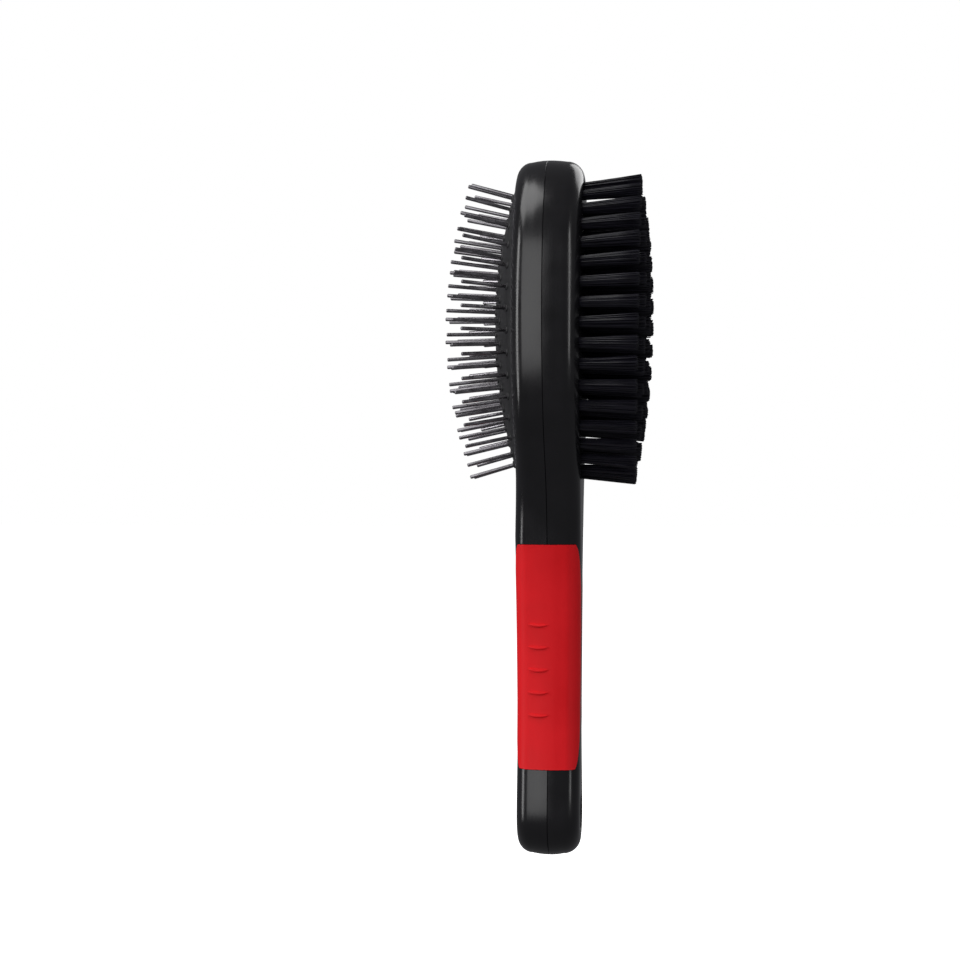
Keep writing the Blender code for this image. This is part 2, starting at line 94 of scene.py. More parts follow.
# Hollow, opening, hole
HEAD_WALL = 2.4 * MM
BRISTLE_FACE_WALL = 3.0 * MM
PIN_FACE_WALL = 4.0 * MM
HANDLE_WALL = 4.2 * MM
HANDLE_HOLLOW_START = -86.5 * MM
HOLLOW_SHOULDER = 2.5 * MM
HOLE_HALF_WIDTH = 4.8 * MM
HOLE_HALF_LENGTH = 6.0 * MM
HOLE_Z = END_ARC_Z - 0.2 * MM
HOLE_CHAMFER = 0.5 * MM
OPENING = (48.5 * MM, 26.0 * MM)
OPENING_LIP = 0.8 * MM

# Grips
GRIP_DEPTH = 2.0 * MM
GRIP_PROUD = 0.12 * MM
GRIP_GAP = 0.14 * MM
GRIP_END_WRAP = 2.2 * MM
GRIP_MIDDLE_HALF_GAP = GRIP_LOW.y
RIB_COUNT = 5
RIB_PITCH = 7.2 * MM
RIB_MIDDLE = (-2.9 * MM, -51.5 * MM)  # x and z of the middle rib's centre
RIB_HALF_LENGTH = 3.5 * MM
RIB_RADIUS = 0.55 * MM
RIB_SAG = 0.5 * MM
RIB_SINK = 0.12 * MM

# Cushion
CUSHION_GAP = 0.12 * MM
CUSHION_SKIN = 1.5 * MM
EDGE_ROLL = 0.35 * MM
EDGE_ROLL_START = 0.965  # share of the way out from the middle

# Pins and tufts: (half length, half width, number, arcs) of each oval ring
PIN_RINGS = (
    (44.0 * MM, 22.5 * MM, 31, 4),
    (37.5 * MM, 16.0 * MM, 25, 4),
    (31.0 * MM, 9.5 * MM, 19, 2),
    (24.0 * MM, 3.2 * MM, 14, 2),
)
PIN_RADIUS = 0.6 * MM
PIN_LENGTH = 16.4 * MM
PIN_TRIM = 1.4 * MM
PIN_ROOT = 3.4 * MM
PIN_SIDES = 14
PIN_END_ROUND = 0.35 * MM
PIN_LEAN_SPREAD = 0.007
PIN_LENGTH_SPREAD = 0.15 * MM
COLLAR_RADIUS = 1.25 * MM
COLLAR_RISE = 0.42 * MM
TUFT_RINGS = (
    (46.5 * MM, 25.5 * MM, 36, 4),
    (39.7 * MM, 18.7 * MM, 28, 4),
    (32.9 * MM, 11.9 * MM, 24, 2),
    (26.1 * MM, 5.1 * MM, 16, 2),
)
TUFT_LENGTH = 22.75 * MM
TUFT_TRIM = 4.6 * MM
TUFT_SLANT = 0.012
TUFT_FAN = 0.075
TUFT_DEPTH = 1.2 * MM
TUFT_BASE_RADIUS = 1.65 * MM
TUFT_TIP_RADIUS = 2.25 * MM
SOCKET_RADIUS = 1.9 * MM
SOCKET_COUNTERSINK = 0.35 * MM
FILAMENTS = 60
FILAMENT_RADIUS = 0.18 * MM
FILAMENT_SIDES = 5
FILAMENT_RINGS = 4
FILAMENT_TIP = 0.12 * MM
FILAMENT_BEND = 0.10 * MM
FILAMENT_LENGTH_SPREAD = 0.3 * MM


# Materials


def new_material(name, colour, roughness, metallic=0.0, **inputs):
    """A material, with its nodes, links and shader. Further inputs are set on the shader's own sockets."""
    made = bpy.data.materials.new(name)
    made.use_nodes = True
    nodes, links = made.node_tree.nodes, made.node_tree.links
    shader = nodes["Principled BSDF"]
    shader.inputs["Base Color"].default_value = (*colour, 1.0)
    shader.inputs["Roughness"].default_value = roughness
    shader.inputs["Metallic"].default_value = metallic
    for key, value in inputs.items():
        shader.inputs[key.replace("_", " ")].default_value = value
    return made, nodes, links, shader


def noise(nodes, links, scale, detail=4.0, stretch=(1.0, 1.0, 1.0)):
    """A noise texture in object coordinates, stretched along the axes."""
    place = nodes.new("ShaderNodeTexCoord")
    mapping = nodes.new("ShaderNodeMapping")
    mapping.inputs["Scale"].default_value = stretch
    texture = nodes.new("ShaderNodeTexNoise")
    texture.inputs["Scale"].default_value = scale
    texture.inputs["Detail"].default_value = detail
    links.new(place.outputs["Object"], mapping.inputs["Vector"])
    links.new(mapping.outputs["Vector"], texture.inputs["Vector"])
    return texture.outputs["Fac"]


def remap(nodes, links, value, low, high, start=0.3, end=0.7):
    """value, from start to end, mapped onto low to high."""
    ranged = nodes.new("ShaderNodeMapRange")
    for key, number in (("From Min", start), ("From Max", end), ("To Min", low), ("To Max", high)):
        ranged.inputs[key].default_value = number
    links.new(value, ranged.inputs["Value"])
    return ranged.outputs["Result"]


def colour_between(nodes, links, value, low, high):
    ramp_node = nodes.new("ShaderNodeValToRGB")
    ramp_node.color_ramp.elements[0].color = (*low, 1.0)
    ramp_node.color_ramp.elements[1].color = (*high, 1.0)
    ramp_node.color_ramp.elements[0].position = 0.3
    ramp_node.color_ramp.elements[1].position = 0.7
    links.new(value, ramp_node.inputs["Fac"])
    return ramp_node.outputs["Color"]


def bump(nodes, links, shader, height, distance, strength=1.0):
    node = nodes.new("ShaderNodeBump")
    node.inputs["Distance"].default_value = distance
    node.inputs["Strength"].default_value = strength
    links.new(height, node.inputs["Height"])
    links.new(node.outputs["Normal"], shader.inputs["Normal"])


def shell_material():
    """Black moulded ABS: glossy, faintly mottled, with a very fine grain."""
    made, nodes, links, shader = new_material("black_moulded_plastic", (0.007, 0.007, 0.008), 0.2)
    shader.inputs["Specular IOR Level"].default_value = 0.55
    broad = noise(nodes, links, 90, 3)
    tone = colour_between(nodes, links, broad, (0.0055, 0.0053, 0.0062), (0.0085, 0.0080, 0.0095))
    links.new(tone, shader.inputs["Base Color"])
    links.new(remap(nodes, links, broad, 0.17, 0.25), shader.inputs["Roughness"])
    bump(nodes, links, shader, noise(nodes, links, 2600, 2), 0.00002, 0.35)
    return made


def grip_material():
    """Red thermoplastic rubber: dull, with a fine grain and slightly uneven tone."""
    made, nodes, links, shader = new_material("red_soft_rubber", (0.55, 0.010, 0.018), 0.5)
    shader.inputs["Specular IOR Level"].default_value = 0.2
    broad = noise(nodes, links, 60, 4)
    tone = colour_between(nodes, links, broad, (0.82, 0.0085, 0.0140), (0.92, 0.0110, 0.0180))
    links.new(tone, shader.inputs["Base Color"])
    links.new(remap(nodes, links, broad, 0.44, 0.58), shader.inputs["Roughness"])
    bump(nodes, links, shader, noise(nodes, links, 1800, 3), 0.00004, 0.5)
    return made


def cushion_material():
    """Black natural rubber: dull, slightly bloomed."""
    made, nodes, links, shader = new_material("black_cushion_rubber", (0.014, 0.014, 0.015), 0.5)
    broad = noise(nodes, links, 120, 4)
    tone = colour_between(nodes, links, broad, (0.010, 0.010, 0.011), (0.020, 0.020, 0.022))
    links.new(tone, shader.inputs["Base Color"])
    links.new(remap(nodes, links, broad, 0.42, 0.58), shader.inputs["Roughness"])
    bump(nodes, links, shader, noise(nodes, links, 1500, 3), 0.00004, 0.5)
    return made


def pin_material():
    """Drawn steel wire, gone dull: fine lines along the wire."""
    made, nodes, links, shader = new_material("drawn_steel_wire", (0.42, 0.42, 0.44), 0.25, 1.0)
    lines = noise(nodes, links, 900, 2, (0.04, 1.0, 1.0))
    tone = colour_between(nodes, links, lines, (0.16, 0.15, 0.16), (0.34, 0.33, 0.35))
    links.new(tone, shader.inputs["Base Color"])
    links.new(remap(nodes, links, lines, 0.18, 0.34), shader.inputs["Roughness"])
    return made


def bristle_material():
    """Black nylon filament with a violet cast. Each filament differs a little from its neighbours."""
    made, nodes, links, shader = new_material("black_nylon_filament", (0.010, 0.009, 0.018), 0.36)
    shader.inputs["Specular IOR Level"].default_value = 0.45
    across = noise(nodes, links, 1400, 2, (0.05, 1.0, 1.0))
    tone = colour_between(nodes, links, across, (0.004, 0.0038, 0.0065), (0.012, 0.011, 0.019))
    links.new(tone, shader.inputs["Base Color"])
    links.new(remap(nodes, links, across, 0.28, 0.46), shader.inputs["Roughness"])
    return made


# The body's form


def blend(low, high, share):
    return low + (high - low) * share


def ramp(z, start, end):
    return min(1.0, max(0.0, (z - start) / (end - start)))


def hermite(low, high, z):
    """Half width at z on the cubic between two (height, half width, slope) stations."""
    span = high[0] - low[0]
    t = (z - low[0]) / span
    return (
        (1 + 2 * t) * (1 - t) ** 2 * low[1]
        + t * (1 - t) ** 2 * span * low[2]
        + t * t * (3 - 2 * t) * high[1]
        + t * t * (t - 1) * span * high[2]
    )


def head_half_width(z):
    return HEAD_HALF_WIDTH * math.sqrt(max(0.0, 1 - ((z - HEAD_Z) / HEAD_HALF_LENGTH) ** 2))


def neck_station():
    up = (HEAD_Z - NECK_JOIN_Z) / HEAD_HALF_LENGTH
    slope = HEAD_HALF_WIDTH / HEAD_HALF_LENGTH * up / math.sqrt(1 - up * up)
    return (NECK_JOIN_Z, head_half_width(NECK_JOIN_Z), slope)


def half_width(z):
    if z >= NECK_JOIN_Z:
        return head_half_width(z)
    if z <= END_ARC_Z:
        return math.sqrt(max(0.0, END_RADIUS**2 - (END_ARC_Z - z) ** 2))
    stations = ((END_ARC_Z, END_RADIUS, 0.0), *HANDLE_STATIONS, neck_station())
    for low, high in zip(stations, stations[1:]):
        if z <= high[0]:
            return hermite(low, high, z)
    return head_half_width(z)


def outline_heights():
    """Heights of the outline's stations: even angles on the end arc and the head, even steps between."""
    arc = [END_ARC_Z - END_RADIUS * math.cos(math.radians(a)) for a in range(0, 91, 5)]
    handle = [blend(END_ARC_Z, NECK_JOIN_Z, i / 60) for i in range(1, 60)]
    start = math.acos((HEAD_Z - NECK_JOIN_Z) / HEAD_HALF_LENGTH)
    head = [HEAD_Z - HEAD_HALF_LENGTH * math.cos(blend(start, math.pi, i / 60)) for i in range(61)]
    return arc + handle + head


def face_depth(z, side):
    """Distance from the parting plane to one side's face."""
    stations = FACES[side]
    if z <= stations[0][0]:
        return stations[0][1]
    for low, high in zip(stations, stations[1:]):
        if z <= high[0]:
            return blend(low[1], high[1], ramp(z, low[0], high[0]))
    return stations[-1][1]


def outline():
    """(y, z, inward normal) of each station of the right-hand edge, from the handle's end to the tip."""
    heights = outline_heights()
    points = [(half_width(z) if 0 < i < len(heights) - 1 else 0.0, z) for i, z in enumerate(heights)]
    found = []
    for i, (y, z) in enumerate(points):
        before = points[i - 1] if i else (-points[1][0], points[1][1])
        after = points[i + 1] if i < len(points) - 1 else (-points[-2][0], points[-2][1])
        along = Vector((after[0] - before[0], after[1] - before[1])).normalized()
        found.append((y, z, Vector((-along.y, along.x))))
    return found


def edge_profile(z, inset, side):
    """(inset from the outline, distance from the parting plane) from the parting line to the flat face."""
    radius = EDGE_RADIUS[side] - inset
    flat = face_depth(z, side) - inset
    rows = [(inset + SEAM_BEVEL, SEAM_HALF_GAP), (inset, SEAM_HALF_GAP + SEAM_BEVEL * 0.9)]
    wall_end = flat - radius
    rows += [(inset + CROWN * share * share, wall_end * share) for share in (0.33, 0.66)]
    for step in range(EDGE_STEPS + 1):
        a = math.radians(90 * step / EDGE_STEPS)
        rows.append((inset + CROWN + radius * (1 - math.cos(a)), wall_end + radius * math.sin(a)))
    return rows


def body_form(name, inset, sides=(PIN_SIDE, BRISTLE_SIDE)):
    """The body's outer form moved in by inset: one half of it, or both. Its faces are ladders across the width."""
    stations = outline()
    last = len(stations) - 1
    rings = []
    for side in sides:
        profiles = [edge_profile(z, inset, side) for _, z, _ in stations]
        count = len(profiles[0])
        order = range(count)
        if len(sides) == 2:
            order = range(count - 1, 1, -1) if side == sides[0] else range(2, count)
        for row in order:
            ring = []
            for i, (y, z, inward) in enumerate(stations):
                shift, x = profiles[i][row]
                ring.append(Vector((side * x, y + inward.x * shift, z + inward.y * shift)))
            rings.append(ring)
    points, right, left = [], [], []
    for ring in rings:
        right.append([len(points) + i for i in range(last + 1)])
        points += ring
        mirrored = [len(points) + i for i in range(last - 1)]
        points += [Vector((p.x, -p.y, p.z)) for p in ring[1:last]]
        left.append([right[-1][0], *mirrored, right[-1][last]])
    faces = []
    for k in range(len(rings) - 1):
        for i in range(last):
            for edge in (right, left):
                faces.append((edge[k][i], edge[k][i + 1], edge[k + 1][i + 1], edge[k + 1][i]))
    for k in (0, len(rings) - 1):
        for i in range(last):
            corners = (right[k][i], right[k][i + 1], left[k][i + 1], left[k][i])
            faces.append(tuple(dict.fromkeys(corners)))
    return mesh_from(name, points, faces)


# Meshes


def mesh_from(name, points, faces):
    mesh = bpy.data.meshes.new(name)
    mesh.from_pydata(points, [], faces)
    work = bmesh.new()
    work.from_mesh(mesh)
    bmesh.ops.recalc_face_normals(work, faces=work.faces)
    work.to_mesh(mesh)
    work.free()
    return mesh


def finish_mesh(obj, material, sharp=40):
    """One material, smooth shading with sharp edges above an angle in degrees."""
    obj.data.materials.clear()
    obj.data.materials.append(material)
    obj.data.shade_smooth()
    obj.data.set_sharp_from_angle(angle=math.radians(sharp))


def add_object(name, mesh):
    obj = bpy.data.objects.new(name, mesh)
    bpy.context.scene.collection.objects.link(obj)
    return obj


def place_piece(obj, body, node):
    """Rides a piece on its body, in place of a CAD node."""
    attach(obj, body)
    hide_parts(node)


def cut(obj, *steps):
    """Applies Boolean (operation, mesh) steps to an object's mesh, one after another."""
    for operation, mesh in steps:
        other = add_object("cutter", mesh)
        modifier = obj.modifiers.new("cut", "BOOLEAN")
        modifier.operation = operation
        modifier.object = other
        modifier.solver = "EXACT"
        bpy.context.view_layer.update()
        evaluated = obj.evaluated_get(bpy.context.evaluated_depsgraph_get())
        result = bpy.data.meshes.new_from_object(evaluated)
        obj.modifiers.clear()
        obj.data = result
        bpy.data.objects.remove(other, do_unlink=True)


def skin(name, points, count):
    """Rings of count points each, joined in order and capped at both ends."""
    faces = []
    for low in range(0, len(points) - count, count):
        for i in range(count):
            j = (i + 1) % count
            faces.append((low + i, low + j, low + count + j, low + count + i))
    faces.append(tuple(range(count)))
    faces.append(tuple(range(len(points) - count, len(points))))
    return mesh_from(name, points, faces)


def oval_stack(name, levels, count=160):
    """Ovals around the head's centre, each (x, half length, half width), skinned and capped."""
    points = []
    for x, length, width in levels:
        for i in range(count):
            a = 2 * math.pi * i / count
            points.append((x, width * math.sin(a), HEAD_Z + length * math.cos(a)))
    return skin(name, points, count)


def loop_stack(name, levels):
    """Closed loops of equal length, each (x, [(y, z), ...]), skinned and capped."""
    return skin(name, [(x, y, z) for x, loop in levels for y, z in loop], len(levels[0][1]))


# Shells


def head_hollow(side):
    deep = face_depth(NECK_JOIN_Z, side) - (PIN_FACE_WALL if side == PIN_SIDE else BRISTLE_FACE_WALL)
    length, width = HEAD_HALF_LENGTH - HEAD_WALL, HEAD_HALF_WIDTH - HEAD_WALL
    levels = (
        (-side * MM, length, width),
        (side * (deep - HOLLOW_SHOULDER), length - CROWN, width - CROWN),
        (side * deep, length - CROWN - HOLLOW_SHOULDER, width - CROWN - HOLLOW_SHOULDER),
    )
    return oval_stack("head_hollow", levels)


def handle_hollow(side):
    heights = [blend(HANDLE_HOLLOW_START, NECK_JOIN_Z + 4 * MM, i / 30) for i in range(31)]
    half = [(half_width(z) - HANDLE_WALL, z) for z in heights]
    loop = half + [(-y, z) for y, z in reversed(half)]
    deep = face_depth(-LENGTH / 2, side) - HANDLE_WALL
    low, high = sorted((-side * MM, side * deep))
    return loop_stack("handle_hollow", ((low, loop), (high, loop)))


def slot_loop(spare):
    """The hanging hole's outline, a slot with round ends, widened by spare."""
    loop = []
    straight = HOLE_HALF_LENGTH - HOLE_HALF_WIDTH
    radius = HOLE_HALF_WIDTH + spare
    for i in range(64):
        a = 2 * math.pi * (i + 0.5) / 64
        shift = straight if math.cos(a) > 0 else -straight
        loop.append((radius * math.sin(a), HOLE_Z + shift + radius * math.cos(a)))
    return loop


def hanging_hole():
    """Cutter for the hole, widened in a small round at both faces."""
    levels = [(0.0, 0.0)]
    for side in (PIN_SIDE, BRISTLE_SIDE):
        face = face_depth(HOLE_Z, side)
        mouth = []
        for step in range(ARC_STEPS + 1):
            a = math.radians(90 * step / ARC_STEPS)
            mouth.append((side * (face - HOLE_CHAMFER * (1 - math.sin(a))), HOLE_CHAMFER * (1 - math.cos(a))))
        mouth.append((side * (face + 3 * MM), HOLE_CHAMFER))
        levels = mouth[::-1] + levels if side == PIN_SIDE else levels + mouth
    return loop_stack("hanging_hole", [(x, slot_loop(spare)) for x, spare in levels])


def tuft_sockets():
    """Cutter for the drilled holes that the tufts stand in, countersunk a little."""
    points, faces = [], []
    for ring in TUFT_RINGS:
        for y, z in ring_places(*ring[:3]):
            _, out = tuft_place(y, z)
            mouth = Vector((face_depth(z, BRISTLE_SIDE), y, z))
            levels = (
                (-TUFT_DEPTH * 1.2, SOCKET_RADIUS),
                (-0.2 * MM, SOCKET_RADIUS),
                (0.25 * MM, SOCKET_RADIUS + SOCKET_COUNTERSINK),
            )
            add_tube(points, faces, [(mouth + out * d, r) for d, r in levels], out, 16)
    return mesh_from("tuft_sockets", points, faces)


def cushion_opening():
    """Cutter for the opening in the pin side, with a small round lip."""
    length, width = OPENING
    levels = [(-LIMIT, length + OPENING_LIP, width + OPENING_LIP)]
    for step in range(ARC_STEPS + 1):
        inward = math.sin(math.radians(90 * step / ARC_STEPS))
        spare = OPENING_LIP * (1 - inward)
        levels.append((-PIN_FACE + OPENING_LIP * inward, length + spare, width + spare))
    levels.append((0.0, length, width))
    return oval_stack("cushion_opening", levels)


def make_shell(name, side, pocket, node, material):
    shell = add_object(name, body_form(name, 0.0, (side,)))
    own_cut = cushion_opening() if side == PIN_SIDE else tuft_sockets()
    for mesh in (head_hollow(side), handle_hollow(side), pocket, hanging_hole(), own_cut):
        cut(shell, ("DIFFERENCE", mesh))
    finish_mesh(shell, material)
    place_piece(shell, BODY, node)


# Grips


def crescent(side, spare):
    """The (y, z) loop that a grip fills: bounded by an arc on the face and open past the handle's edge."""
    low, high = GRIP_Z[0] - spare, GRIP_Z[1] + spare
    steps = 60
    loop = [(LIMIT, high), (LIMIT, low)]
    for i in range(steps + 1):
        z = blend(low, high, i / steps)
        bulge = max(0.0, math.sin(math.pi * i / steps)) ** 0.75
        start = half_width(blend(*GRIP_Z, i / steps)) - GRIP_END_WRAP
        loop.append((blend(start, GRIP_MIDDLE_HALF_GAP, bulge) - spare, z))
    return [(side * y, z) for y, z in loop]


def crescent_mesh(side, spare):
    loop = crescent(side, spare)
    return loop_stack("crescent", ((-LIMIT, loop), (LIMIT, loop)))


def rib_mesh(side):
    """Short curved ribs across the grip's side, each a swept bead with tapered ends."""
    points, faces = [], []
    for number in range(RIB_COUNT):
        middle = RIB_MIDDLE[1] + (number - (RIB_COUNT - 1) / 2) * RIB_PITCH
        path = []
        for i in range(13):
            share = i / 6 - 1
            z = middle - RIB_SAG * (1 - share * share)
            y = half_width(z) + GRIP_PROUD - CROWN * 0.4 * share * share - RIB_SINK
            radius = RIB_RADIUS * max(0.12, math.sqrt(max(0.0, 1 - share * share)))
            path.append((Vector((RIB_MIDDLE[0] + share * RIB_HALF_LENGTH, side * y, z)), radius))
        add_tube(points, faces, path, Vector((1, 0, 0)), 12)
    return mesh_from("ribs", points, faces)


def make_grip(name, side, node, material):
    grip = add_object(name, body_form(name, -GRIP_PROUD))
    core = body_form("core", GRIP_DEPTH)
    cut(grip, ("INTERSECT", crescent_mesh(side, 0.0)), ("DIFFERENCE", core), ("UNION", rib_mesh(side)))
    finish_mesh(grip, material)
    place_piece(grip, BODY, node)


def grip_pocket():
    """The space both grips take out of the shells."""
    pocket = add_object("pocket", crescent_mesh(-1, GRIP_GAP))
    cut(pocket, ("UNION", crescent_mesh(1, GRIP_GAP)), ("DIFFERENCE", body_form("core", GRIP_DEPTH)))
    mesh = pocket.data
    bpy.data.objects.remove(pocket, do_unlink=True)
    return mesh


# Cushion, pins and tufts


def add_tube(points, faces, path, along, sides):
    """Adds a closed tube through (centre, radius) rings, all square to along, to the lists."""
    across = along.cross(Vector((0, 0, 1)))
    if across.length < 1e-3:
        across = along.cross(Vector((0, 1, 0)))
    across.normalize()
    up = across.cross(along).normalized()
    first = len(points)
    for centre, radius in path:
        for i in range(sides):
            a = 2 * math.pi * i / sides
            points.append(centre + (across * math.cos(a) + up * math.sin(a)) * radius)
    for k in range(len(path) - 1):
        low, high = first + k * sides, first + (k + 1) * sides
        for i in range(sides):
            j = (i + 1) % sides
            faces.append((low + i, low + j, high + j, high + i))
    faces.append(tuple(first + i for i in range(sides)))
    faces.append(tuple(first + (len(path) - 1) * sides + i for i in range(sides)))


def dome_x(y, z, below=0.0):
    share = min(1.0, (y / OPENING[1]) ** 2 + ((z - HEAD_Z) / OPENING[0]) ** 2)
    return -(PIN_FACE + CUSHION_RISE * (1 - share) - below)


def dome_direction(y, z):
    dy = -2 * CUSHION_RISE * y / OPENING[1] ** 2
    dz = -2 * CUSHION_RISE * (z - HEAD_Z) / OPENING[0] ** 2
    return Vector((-1.0, -dy, -dz)).normalized()


def ring_places(length, width, count):
    """Evenly spaced (y, z) places on an oval ring, the first one at its top."""
    fine = 720
    oval = [
        (width * math.sin(2 * math.pi * i / fine), length * math.cos(2 * math.pi * i / fine))
        for i in range(fine + 1)
    ]
    runs = [0.0]
    for a, b in zip(oval, oval[1:]):
        runs.append(runs[-1] + math.dist(a, b))
    places, k = [], 0
    for number in range(count):
        target = runs[-1] * number / count
        while runs[k + 1] < target:
            k += 1
        places.append((oval[k][0], HEAD_Z + oval[k][1]))
    return places


def tuft_place(y, z):
    """(length, direction) of the tuft at a place on the bristle face."""
    lean_z = (z - HEAD_Z) / TUFT_RINGS[0][0]
    lean_y = y / TUFT_RINGS[0][1]
    out = Vector((1.0, TUFT_FAN * lean_y, TUFT_FAN * lean_z)).normalized()
    return TUFT_LENGTH - TUFT_TRIM * (lean_y**2 + lean_z**2) + TUFT_SLANT * (z - HEAD_Z), out


def cushion_levels(rows):
    """(share of the way out, how far below the dome) of the cushion's rings, from its middle round its edge."""
    dome = [(k / rows, 0.0) for k in range(1, rows + 1)]
    tuck = [(1.0, 1.6 * MM), (0.985, 2.4 * MM), (0.94, 2.4 * MM)]
    underside = [(0.7, CUSHION_SKIN), (0.35, CUSHION_SKIN)]
    return dome + tuck + underside


def add_collar(points, faces, y, z):
    """A low rounded collar of rubber where a pin comes out."""
    base, out = Vector((dome_x(y, z), y, z)), dome_direction(y, z)
    path = [(base - out * 0.5 * MM, COLLAR_RADIUS * 1.1)]
    for step in range(ARC_STEPS + 1):
        a = math.radians(90 * step / ARC_STEPS)
        radius = blend(PIN_RADIUS * 1.25, COLLAR_RADIUS, math.cos(a))
        path.append((base + out * COLLAR_RISE * math.sin(a), radius))
    add_tube(points, faces, path, out, 20)


def make_cushion(material):
    """The dome, its edge tucked into the opening, and a low collar round each pin."""
    count, rows = 160, 28
    length, width = OPENING[0] - CUSHION_GAP, OPENING[1] - CUSHION_GAP
    points, faces = [(dome_x(0, HEAD_Z), 0.0, HEAD_Z)], []
    levels = cushion_levels(rows)
    for number, (share, below) in enumerate(levels):
        rolled = 0.0
        if number < rows + 3:
            edge = max(0.0, share - EDGE_ROLL_START) / (1 - EDGE_ROLL_START) if not below else 1.0
            rolled = EDGE_ROLL * edge * edge
        for i in range(count):
            a = 2 * math.pi * i / count
            y, z = width * share * math.sin(a), HEAD_Z + length * share * math.cos(a)
            points.append((dome_x(y, z) + rolled + below, y, z))
    for i in range(count):
        faces.append((0, 1 + i, 1 + (i + 1) % count))
    for k in range(len(levels) - 1):
        low, high = 1 + k * count, 1 + (k + 1) * count
        for i in range(count):
            j = (i + 1) % count
            faces.append((low + i, low + j, high + j, high + i))
    middle = len(points)
    points.append((dome_x(0, HEAD_Z, CUSHION_SKIN), 0.0, HEAD_Z))
    for i in range(count):
        faces.append((middle, middle - count + i, middle - count + (i + 1) % count))
    for ring in PIN_RINGS:
        for y, z in ring_places(*ring[:3]):
            add_collar(points, faces, y, z)
    cushion = add_object("cushion_skin", mesh_from("cushion_skin", points, faces))
    finish_mesh(cushion, material, 50)
    place_piece(cushion, BODY, "pin_cushion")
    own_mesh(cushion)


def arcs_of(places, arcs):
    bounds = [round(len(places) * k / arcs) for k in range(arcs + 1)]
    return [places[low:high] for low, high in zip(bounds, bounds[1:])]


def add_pin(points, faces, y, z, rng):
    """One straight wire pin with a rounded, blunt end."""
    out = dome_direction(y, z)
    out = (out + Vector((0, rng.gauss(0, PIN_LEAN_SPREAD), rng.gauss(0, PIN_LEAN_SPREAD)))).normalized()
    base = Vector((dome_x(y, z), y, z))
    rim = PIN_RINGS[0]
    length = PIN_LENGTH - PIN_TRIM * (((z - HEAD_Z) / rim[0]) ** 2 + (y / rim[1]) ** 2)
    tip = base + out * (length - abs(rng.gauss(0, PIN_LENGTH_SPREAD)))
    path = [(base - out * PIN_ROOT, PIN_RADIUS)]
    for step in range(ARC_STEPS + 1):
        a = math.radians(90 * step / ARC_STEPS)
        centre = tip - out * PIN_END_ROUND * (1 - math.sin(a))
        path.append((centre, blend(PIN_RADIUS * 0.45, PIN_RADIUS, math.cos(a))))
    add_tube(points, faces, path, out, PIN_SIDES)


def add_tuft(points, faces, y, z, rng):
    """One bundle of nylon filaments that spread a little towards their tips."""
    length, out = tuft_place(y, z)
    across = out.cross(Vector((0, 0, 1))).normalized()
    up = across.cross(out)
    length /= out.x
    base = Vector((face_depth(z, BRISTLE_SIDE), y, z)) - out * TUFT_DEPTH
    spread = rng.uniform(0.9, 1.12)
    drift = (rng.gauss(0, FILAMENT_BEND), rng.gauss(0, FILAMENT_BEND))
    golden = math.pi * (3 - math.sqrt(5))
    for number in range(FILAMENTS):
        radius = math.sqrt((number + 0.5) / FILAMENTS)
        angle = golden * number + rng.gauss(0, 0.12)
        place = (radius * math.cos(angle), radius * math.sin(angle))
        shorter = abs(rng.gauss(0, FILAMENT_LENGTH_SPREAD)) + 0.25 * MM * radius**4
        reach = length + TUFT_DEPTH - shorter
        bend = (rng.gauss(0, FILAMENT_BEND), rng.gauss(0, FILAMENT_BEND))
        path = []
        for ring in range(FILAMENT_RINGS):
            share = ring / (FILAMENT_RINGS - 1)
            size = blend(TUFT_BASE_RADIUS, TUFT_TIP_RADIUS * spread, share) - FILAMENT_RADIUS
            offset = [place[k] * size + (bend[k] + drift[k]) * share * share for k in (0, 1)]
            centre = base + out * reach * share + across * offset[0] + up * offset[1]
            path.append((centre, FILAMENT_RADIUS))
        tip = path.pop()[0]
        path += [(tip - out * FILAMENT_TIP, FILAMENT_RADIUS), (tip, FILAMENT_RADIUS * 0.55)]
        add_tube(points, faces, path, out, FILAMENT_SIDES)


def make_rings(rings, prefix, node_prefix, add_one, body, material, sharp):
    """One piece for each arc of each ring, made of single pins or tufts."""
    rng = random.Random(SEED)
    for number, (length, width, count, arcs) in enumerate(rings, 1):
        places = ring_places(length, width, count)
        for letter, group in zip("abcd", arcs_of(places, arcs)):
            points, faces = [], []
            for y, z in group:
                add_one(points, faces, y, z, rng)
            name = f"{prefix}_{number}_{letter}"
            obj = add_object(name, mesh_from(name, points, faces))
            finish_mesh(obj, material, sharp)
            place_piece(obj, body, f"{node_prefix}_ring_{number}_{letter}")


# Studio

ROOM_COLOUR = (0.95, 0.95, 1.0)
ROOM_STRENGTH = 0.15
FLOOR_HALF_SIZE = 6.0
FLOOR_DROP = 100 * MM
FLOOR_GLOW = 1.0
# Softboxes: name, azimuth (0 in front, positive towards +X) and elevation in degrees, distance, size, radiance
SOFTBOXES = (
    ("front", -18, 16.5, 1.1, (0.55, 1.19), 1.4),
    ("left", -66, 12, 1.1, (0.25, 1.2), 4.5),
    ("right", 56, 20, 1.1, (0.14, 1.0), 3.5),
    ("top", -60, 65, 1.2, (0.6, 0.6), 2.5),
    ("back", 150, 35, 1.2, (0.7, 0.7), 1.5),
)
POWER_PER_RADIANCE = 4  # watts of an area light for each square metre and unit of radiance

CAMERA_DISTANCE = 0.450
CAMERA_YAW = math.radians(4.5)
CAMERA_HEIGHT = 9 * MM
CAMERA_SIDE = -1.1 * MM
CAMERA_ROLL = math.radians(0.08)
CAMERA_TURN = math.radians(2.76)
LENS = 51.75
SENSOR_WIDTH = 36


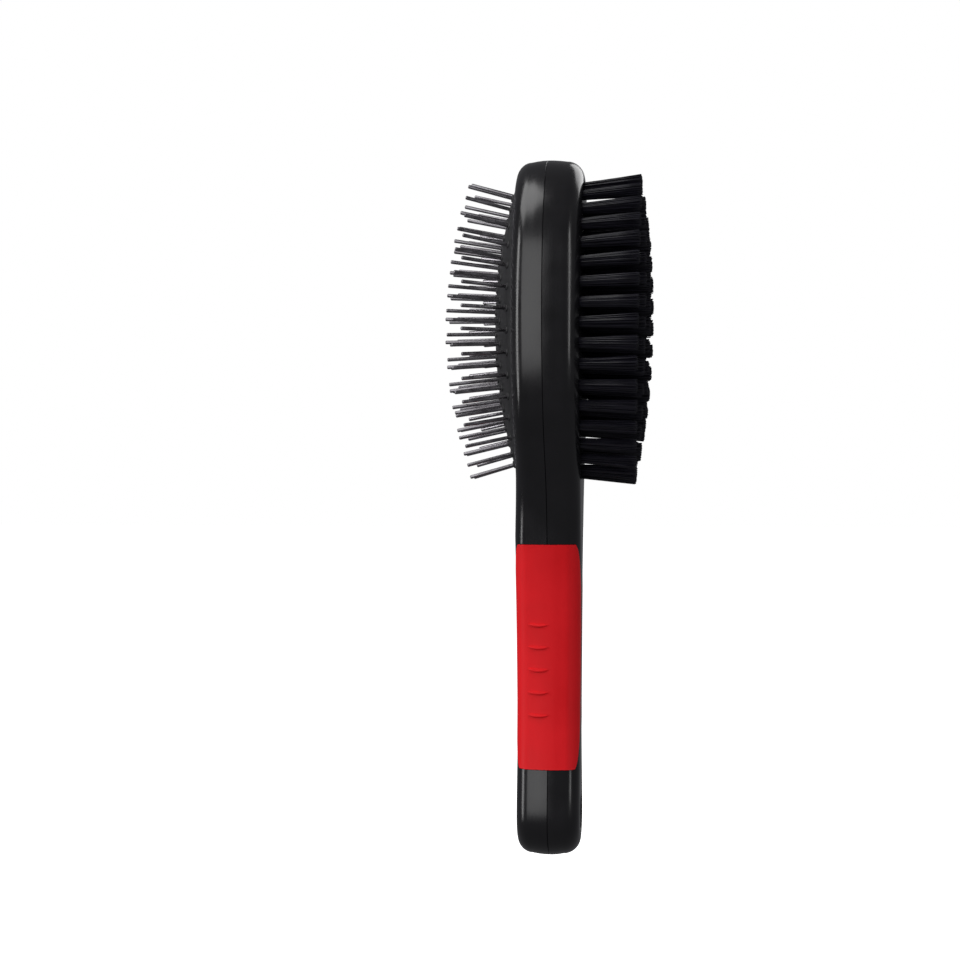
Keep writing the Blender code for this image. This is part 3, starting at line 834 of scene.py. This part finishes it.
def softbox(name, azimuth, elevation, distance, size, radiance):
    """A rectangular light aimed at the brush's middle."""
    data = bpy.data.lights.new(name, "AREA")
    data.shape = "RECTANGLE"
    data.size, data.size_y = size
    data.energy = radiance * size[0] * size[1] * POWER_PER_RADIANCE
    light = add_object(name, data)
    turn, rise = math.radians(azimuth), math.radians(elevation)
    level = math.cos(rise)
    light.location = Vector((math.sin(turn) * level, -math.cos(turn) * level, math.sin(rise))) * distance
    light.rotation_euler = (-light.location).to_track_quat("-Z", "Y").to_euler()


def room():
    """White where the camera sees it, and dim grey for the light it gives."""
    world = bpy.data.worlds.new("studio")
    bpy.context.scene.world = world
    world.use_nodes = True
    nodes, links = world.node_tree.nodes, world.node_tree.links
    background = nodes["Background"]
    background.inputs["Color"].default_value = (*ROOM_COLOUR, 1)
    background.inputs["Strength"].default_value = ROOM_STRENGTH
    backdrop = nodes.new("ShaderNodeBackground")
    backdrop.inputs["Color"].default_value = (1, 1, 1, 1)
    path, mix = nodes.new("ShaderNodeLightPath"), nodes.new("ShaderNodeMixShader")
    links.new(path.outputs["Is Camera Ray"], mix.inputs[0])
    links.new(background.outputs[0], mix.inputs[1])
    links.new(backdrop.outputs[0], mix.inputs[2])
    links.new(mix.outputs[0], nodes["World Output"].inputs["Surface"])


def floor():
    """A plain pale floor below the brush."""
    half, z = FLOOR_HALF_SIZE, -LENGTH / 2 - FLOOR_DROP
    mesh = bpy.data.meshes.new("floor")
    mesh.from_pydata([(-half, -half, z), (half, -half, z), (half, half, z), (-half, half, z)], [], [(0, 1, 2, 3)])
    made, _, _, shader = new_material("pale_floor", (0.9, 0.9, 0.9), 0.8)
    shader.inputs["Emission Color"].default_value = (1, 1, 1, 1)
    shader.inputs["Emission Strength"].default_value = FLOOR_GLOW
    mesh.materials.append(made)
    obj = add_object("floor", mesh)
    obj.visible_diffuse = obj.visible_glossy = False


def studio():
    view = bpy.context.scene.view_settings
    view.view_transform = "Standard"
    view.look = "None"
    room()
    floor()
    for settings in SOFTBOXES:
        softbox(*settings)


def camera():
    data = bpy.data.cameras.new("camera")
    data.sensor_width = SENSOR_WIDTH
    data.lens = LENS
    obj = add_object("camera", data)
    place = Vector((math.sin(CAMERA_YAW), -math.cos(CAMERA_YAW), 0)) * CAMERA_DISTANCE
    obj.location = place + Vector((CAMERA_SIDE, 0, CAMERA_HEIGHT))
    obj.rotation_euler = (math.radians(90), CAMERA_ROLL, CAMERA_YAW + CAMERA_TURN)
    bpy.context.scene.camera = obj


shell_look = shell_material()
grip_look = grip_material()
pocket_mesh = grip_pocket()
make_shell("bristle_shell", BRISTLE_SIDE, pocket_mesh, "bristle_side_shell", shell_look)
make_shell("pin_shell", PIN_SIDE, pocket_mesh, "pin_side_shell", shell_look)
make_grip("soft_grip_left", -1, "grip_left", grip_look)
make_grip("soft_grip_right", 1, "grip_right", grip_look)
make_cushion(cushion_material())
make_rings(PIN_RINGS, "wire_pins", "pins", add_pin, PINS, pin_material(), 50)
make_rings(TUFT_RINGS, "bristles", "tufts", add_tuft, BODY, bristle_material(), 60)
studio()
camera()
